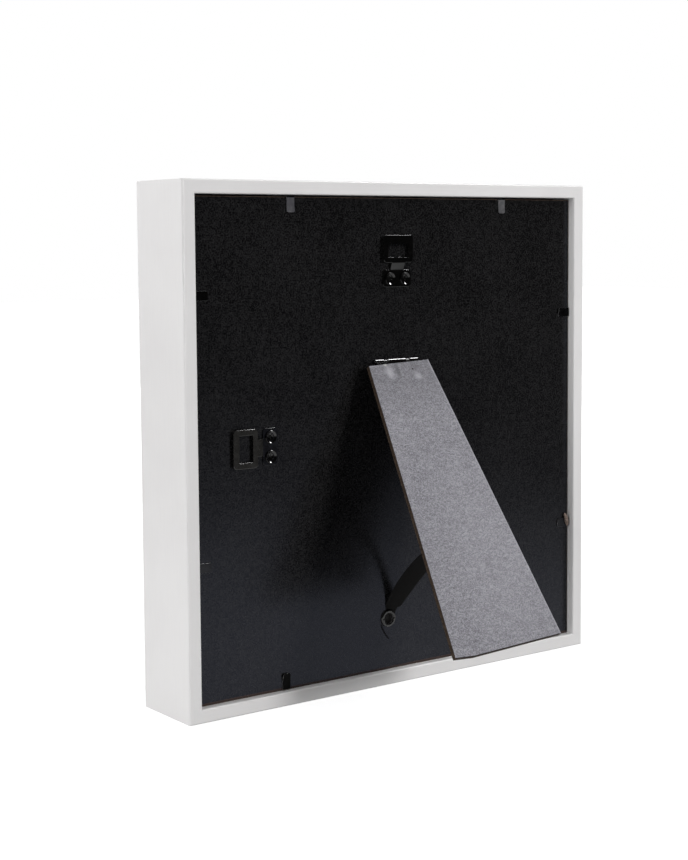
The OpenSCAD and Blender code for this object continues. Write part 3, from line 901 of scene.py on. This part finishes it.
def coverHeight(x, u, edge):  # edge: distance from the nearest side
    height = 0.0
    for dentX, dentU, radius, depth in strut["dents"]:
        share = math.hypot(x - dentX, u - dentU) / radius
        height -= depth * math.exp(-(share * 1.5) ** 2)
    drop, reach = strut["round"]
    height -= drop * max(0, 1 - edge / reach) ** 2
    height += sum(high * noise.noise(Vector((x, u, seed)) * pitch) for high, seed, pitch in strut["waves"])
    return max(strut["lowest"], height)


def makeCover():
    outline = [Vector((x, u, 0)) for x, u in strut["outline"]]
    sides = list(zip(outline, outline[1:] + outline[:1]))
    mesh = coverGrid(sides)
    skew = Matrix.Rotation(math.radians(strut["skew"]), 4, "Y")
    uv = mesh.loops.layers.uv.new("paper")
    rim = mesh.verts.layers.float.new("rim")
    foot = mesh.verts.layers.float.new("foot")
    flat = {}
    for vert in mesh.verts:
        gaps = [gapTo(vert.co, p, q) for p, q in sides]
        feet = [gap for gap, (p, q) in zip(gaps, sides) if min(p.y, q.y) > strut["footFrom"]]
        vert[foot] = max(0, 1 - min(feet) / strut["foot"])
        # painted highlight along one long edge
        vert[rim] = max(0, 1 - gapTo(vert.co, outline[0], outline[-1]) / strut["rim"])
        skewed = skew @ Vector((vert.co.x, 0, -vert.co.y))
        x = skewed.x + strut["x"]
        u = -skewed.z
        flat[vert] = (x, u)
        out = strut["cover"] + strut["thick"] + coverHeight(x, u, min(gaps)) * mm
        vert.co = onStrut @ Vector((x * mm, out, -u * mm))
    for face in mesh.faces:
        face.smooth = True
        for loop in face.loops:
            loop[uv].uv = flat[loop.vert]
    inside = onStrut.inverted()
    for vert in secondLayer(mesh):
        spot = inside @ vert.co
        vert.co = onStrut @ Vector((spot.x, min(strut["cover"], spot.y - 0.05 * mm), spot.z))
    bmesh.ops.recalc_face_normals(mesh, faces=mesh.faces)
    piece = toPiece(mesh, "embossed_cover", "paperGrey")
    piece.data.set_sharp_from_angle(angle=math.radians(50))
    join(piece, "strut", "paper_grey", "strut_cover")


def makeCore():  # raw edges, and a black liner on the inner face
    mesh = copied("strut_board")
    inner = onStrut.to_3x3() @ Vector((0, -1, 0))
    for face in mesh.faces:
        lined = face.normal.dot(inner) > 0.95 and face.calc_area() > 50 * mm * mm
        face.material_index = 1 if lined else 0
    piece = soften(toPiece(mesh, "fibreboard_core", "strutRaw", "liner"), strut["core"], 2)
    join(piece, "strut", "strut_brown", "strut_board")


makeCover()
makeCore()
print("strut done")

# strap: a ribbon from the board's eyelet up, over and down to the strut's
strap = {
    "width": 11.0 * mm,
    "thick": 0.32 * mm,
    "rows": 150,
    "columns": 18,
    "bends": 60,
    "boardEye": (7.7 * mm, 20.2 * mm, 39.3 * mm),
    "strutEye": (-4 * mm, 0.47 * mm, -131 * mm),
    "lean": 26,
    "lead": 5 * mm,  # straight beyond each eyelet
    "rise": 11 * mm,
    "fall": 31 * mm,
    "tail": 4.4 * mm,
    "hole": 3.5 * mm,
    "cup": 0.5 * mm,
    "cupFrom": 12 * mm,  # from each end
    "twist": 24,
    "twistFrom": 10 * mm,
    "twistOver": 62 * mm,
    "tongue": 0.31,  # half widths as shares, at the board's eyelet
    "gather": 0.48,
    "gatherOver": 16 * mm,
    "shoulder": 8.2 * mm,
    "cuts": ((0.8 * mm, 1.2 * mm), (-0.4 * mm, 4.5 * mm)),  # start and slope of the shoulder, each side
    "foldStart": (-50.32 * mm, -10.28 * mm, 220.78 * mm),
    "foldEnd": (-50.61 * mm, 67.23 * mm, 232.55 * mm),
}
lean = math.radians(strap["lean"])


def strapRoute():  # middle line of the ribbon, and the length up to each of its points
    rise = Vector((-math.sin(lean), 0, math.cos(lean)))
    up = onStrut.to_3x3() @ Vector((0, 0, 1))
    first = Vector(strap["boardEye"])
    last = onStrut @ Vector(strap["strutEye"])
    a = first + strap["lead"] * rise
    b = a + strap["rise"] * rise
    d = last + strap["lead"] * up
    c = d + strap["fall"] * up
    line = [first - strap["tail"] * rise, first]
    for step in range(strap["bends"] + 1):
        t = step / strap["bends"]
        line.append(a * (1 - t) ** 3 + b * 3 * t * (1 - t) ** 2 + c * 3 * t * t * (1 - t) + d * t ** 3)
    line += [last, last - strap["tail"] * up]
    lengths = [0.0]
    for p, q in zip(line, line[1:]):
        lengths.append(lengths[-1] + (q - p).length)
    return line, lengths


def onRoute(line, lengths, s):  # the spot at distance s
    for k in range(len(line) - 1):
        if s <= lengths[k + 1] or k == len(line) - 2:
            share = (s - lengths[k]) / (lengths[k + 1] - lengths[k])
            return line[k].lerp(line[k + 1], share)


def strapSpread(across, s):  # share of the width: narrow at the board's eyelet, with a shoulder above it
    past = s - strap["tail"] - strap["shoulder"]
    spread = strap["gather"] + (0.5 - strap["gather"]) * clamped(past / strap["gatherOver"])
    start, slope = strap["cuts"][0 if across < 0 else 1]
    return 2 * (spread + (strap["tongue"] - spread) * clamped((-past + start) / slope))


def strapSpot(line, lengths, across, s):  # across runs from -0.5 to 0.5
    total = lengths[-1]
    step = 0.4 * mm
    ahead = onRoute(line, lengths, min(total, s + step))
    behind = onRoute(line, lengths, max(0, s - step))
    along = (ahead - behind).normalized()
    side = Vector((math.cos(lean), 0, math.sin(lean))).lerp(Vector((1, 0, 0)), clamped(s / total))
    side = (side - side.dot(along) * along).normalized()
    out = side.cross(along)
    turned = clamped((s - strap["twistFrom"]) / strap["twistOver"])
    turn = math.radians(strap["twist"]) * math.sin(math.pi * turned)
    level = side * math.cos(turn) + out * math.sin(turn)
    out = out * math.cos(turn) - side * math.sin(turn)
    middle = math.sin(math.pi * clamped((s - strap["cupFrom"]) / (total - 2 * strap["cupFrom"])))
    cup = strap["cup"] * middle * (1 - (2 * across) ** 2)
    wide = strapSpread(across, s)
    return onRoute(line, lengths, s) + level * across * wide * strap["width"] - out * cup


def punchStrap(mesh):  # a hole at each eyelet
    eyes = (Vector(strap["boardEye"]), onStrut @ Vector(strap["strutEye"]))
    middles = [(face, face.calc_center_median()) for face in mesh.faces]
    gone = [face for face, spot in middles if min((spot - eye).length for eye in eyes) < strap["hole"]]
    bmesh.ops.delete(mesh, geom=gone, context="FACES")
    loose = [vert for vert in mesh.verts if not vert.link_faces]
    bmesh.ops.delete(mesh, geom=loose, context="VERTS")


def makeStrap():
    line, lengths = strapRoute()
    total = lengths[-1]
    mesh = bmesh.new()
    bmesh.ops.create_grid(mesh, x_segments=strap["columns"], y_segments=strap["rows"], size=0.5)
    uv = mesh.loops.layers.uv.new("weave")
    for face in mesh.faces:
        face.smooth = True
        for loop in face.loops:
            spot = loop.vert.co
            loop[uv].uv = ((spot.x + 0.5) * strap["width"] / mm, (spot.y + 0.5) * total / mm)
    for vert in mesh.verts:
        vert.co = strapSpot(line, lengths, vert.co.x, (vert.co.y + 0.5) * total)
    punchStrap(mesh)
    area = sum(face.calc_area() for face in mesh.faces)
    piece = toPiece(mesh, "ribbon_strap", "ribbon")
    bpy.context.view_layer.objects.active = piece
    wall = piece.modifiers.new("wall", "SOLIDIFY")
    wall.thickness = strap["thick"]
    wall.offset = 0
    bpy.ops.object.modifier_apply(modifier="wall")
    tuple(strap["foldStart"])
    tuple(strap["foldEnd"])
    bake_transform(piece)
    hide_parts("strap")
    print("strap length", round(total / mm, 1), "mm")


makeStrap()

# loose thread beside the board's eyelet
thread = {
    "knots": [  # in mm
        (12.9, 20.35, 36.4), (12.5, 20.5, 34.4), (11.5, 20.55, 32.2),
        (10.1, 20.55, 30.0), (8.6, 20.5, 28.0), (7.0, 20.35, 26.2),
    ],
    "radius": 0.24 * mm,
    "sides": 8,
}


def makeThread():
    knots = [Vector(spot) * mm for spot in thread["knots"]]
    mesh = bmesh.new()
    rings = []
    for number, knot in enumerate(knots):
        ahead = knots[min(number + 1, len(knots) - 1)] - knots[max(number - 1, 0)]
        turn = ahead.to_track_quat("Z", "Y").to_matrix().to_4x4()
        made = bmesh.ops.create_circle(mesh, segments=thread["sides"], radius=thread["radius"],
                                       matrix=Matrix.Translation(knot) @ turn)
        rings.append(made["verts"])
    for low, high in zip(rings, rings[1:]):
        pair = set(low + high)
        around = [edge for edge in mesh.edges if pair.issuperset(edge.verts)]
        bmesh.ops.bridge_loops(mesh, edges=around)
    ends = [edge for edge in mesh.edges if edge.is_boundary]
    bmesh.ops.holes_fill(mesh, edges=ends, sides=thread["sides"])
    bmesh.ops.recalc_face_normals(mesh, faces=mesh.faces)
    piece = toPiece(mesh, "frayed_thread", "ribbon")
    soft = piece.modifiers.new("soft", "SUBSURF")
    soft.levels = 2
    soft.render_levels = 2
    join(piece, "frame", "ribbon_black")


makeThread()

# fibre torn up where the lower tab was bent
chip = {
    "at": (-139.4, 21.1, 83.7),  # in mm
    "half": (1.3, 1.0, 4.0),
    "tilt": 15,
    "torn": 0.55,
    "tears": [(1.7, 0.6), (5.0, 0.35), (14.0, 0.15)],  # pitch and share
    "wall": -142 * mm,
}


def makeChip():
    mesh = bmesh.new()
    bmesh.ops.create_icosphere(mesh, subdivisions=5, radius=1)
    for vert in mesh.verts:
        tear = sum(noise.noise(vert.co * pitch) * share for pitch, share in chip["tears"])
        vert.co *= 1 + chip["torn"] * tear
        vert.co = Vector([part * half * mm for part, half in zip(vert.co, chip["half"])])
    spot = Matrix.Translation(Vector(chip["at"]) * mm) @ Matrix.Rotation(math.radians(chip["tilt"]), 4, "Y")
    bmesh.ops.transform(mesh, matrix=spot, verts=mesh.verts)
    for vert in mesh.verts:  # flat on the board and against the wall
        vert.co.x = max(vert.co.x, chip["wall"])
        vert.co.y = max(vert.co.y, faceY)
    join(toPiece(mesh, "torn_fibre_chip", "chip"), "frame", "board_brown")


makeChip()
print("ribbon, thread and chip done")

# floor, light and camera
studio = {
    "floor": (0.50, 0.50, 0.50, 1),
    "dark": (0.03, 0.03, 0.03, 1),
    "lift": (0.25, 0.8, 0.78),  # from and to which distance the floor brightens, and from which share
    "ambient": 0.11,
    "dimTo": 0.035,
    "fadeFrom": (0.20, 0.05, 0),  # where the floor's reflection fades, metres
    "near": 0.15,
    "far": 1.05,
    "horizon": (-0.2, 0.35),
    "lens": 68.29,
    "shift": (0.00597, -0.06804),
    "eye": (0.6041, 0.7826, 0.2654),
    "turn": (85.4517, 0.4414, 143.6214),
    "aim": (0, 0, 0.12),
    "lamps": {
        "key": {"from": (-0.45, 0.85, 0.32), "far": 2.2, "size": 0.50, "power": 28, "sees": "diffuse"},
        "left": {"from": (1.0, 0.10, 0.30), "far": 2.2, "size": 1.6, "power": 35, "sees": "diffuse"},
        "front": {"from": (-0.35, -0.85, 0.40), "far": 2.2, "size": 1.2, "power": 20, "sees": "diffuse"},
        "top": {"from": (-0.50, 0.15, 0.85), "far": 1.6, "size": 0.5, "power": 4, "sees": "both"},
        "glint": {"from": (-0.58, 0.13, 0.80), "far": 1.6, "size": 0.4, "power": 17, "sees": "glossy"},
    },
}


def rayKinds(wire):
    kinds = ("Is Camera Ray", "Is Glossy Ray", "Is Transmission Ray")
    return [wire.add("LightPath", out=kind) for kind in kinds]


def paleFloor():  # lit from within for the camera, and dark in far reflections
    material, wire = newMaterial("paleFloor")
    seen, glossy, through = rayKinds(wire)
    away = wire.add("VectorMath", {"operation": "LENGTH"}, {0: place(wire)}, 1)
    past = wire.add("VectorMath", {"operation": "DISTANCE"}, {0: place(wire), 1: studio["fadeFrom"]}, 1)
    fade = past.spread(studio["near"], studio["far"], 0.0, 1.0)
    low, high, share = studio["lift"]
    glow = (seen + glossy + through) * away.spread(low, high, share, 1.0, "LINEAR")
    pale = wire.add("BsdfPrincipled", None, {
        "Base Color": studio["floor"],
        "Roughness": 0.7,
        "Specular IOR Level": 0.2,
        "Emission Color": glow.mix((0, 0, 0, 1), (1, 1, 1, 1)),
        "Emission Strength": 1.0,
    })
    dark = wire.add("BsdfDiffuse", None, {"Color": studio["dark"]})
    mixed = wire.add("MixShader", None, {0: glossy * fade * (1 - studio["dimTo"]), 1: pale, 2: dark})
    wire.add("OutputMaterial", None, {"Surface": mixed})
    return material


def makeFloor():
    finishes["floor"] = paleFloor()
    mesh = bmesh.new()
    bmesh.ops.create_grid(mesh, x_segments=1, y_segments=1, size=6)
    toPiece(mesh, "studio_floor", "floor")


def makeLamp(name, lamp):
    data = bpy.data.lights.new(name, "AREA")
    data.shape = "DISK"
    data.size = lamp["size"]
    data.energy = lamp["power"]
    piece = bpy.data.objects.new(name, data)
    aim = Vector(lamp["from"]).normalized()
    piece.location = Vector(studio["aim"]) + aim * lamp["far"]
    piece.rotation_euler = aim.to_track_quat("Z", "Y").to_euler()
    piece.visible_glossy = lamp["sees"] != "diffuse"
    piece.visible_diffuse = lamp["sees"] != "glossy"
    bpy.context.scene.collection.objects.link(piece)


def makeWorld():
    world = bpy.data.worlds.new("paleStudio")
    world.use_nodes = True
    world.node_tree.nodes.clear()
    wire = Wire(world.node_tree)
    seen, glossy, through = rayKinds(wire)
    low, high = studio["horizon"]
    fade = wire.add("TexCoord", out="Generated").part(1).spread(low, high, 1.0, studio["dimTo"])
    strength = (seen + through) + glossy * fade + (1 - seen - through - glossy) * studio["ambient"]
    light = wire.add("Background", None, {"Color": (1, 1, 1, 1), "Strength": strength})
    wire.add("OutputWorld", None, {"Surface": light})
    bpy.context.scene.world = world


def makeCamera():
    camera = bpy.data.objects.new("camera", bpy.data.cameras.new("camera"))
    camera.data.lens = studio["lens"]
    camera.data.sensor_width = 36
    camera.data.shift_x, camera.data.shift_y = studio["shift"]
    camera.data.clip_start = 0.01
    camera.location = studio["eye"]
    camera.rotation_euler = [math.radians(angle) for angle in studio["turn"]]
    bpy.context.scene.collection.objects.link(camera)
    bpy.context.scene.camera = camera
    bpy.context.scene.view_settings.view_transform = "Standard"


makeFloor()
for name, lamp in studio["lamps"].items():
    makeLamp(name, lamp)
makeWorld()
makeCamera()
print("studio done")
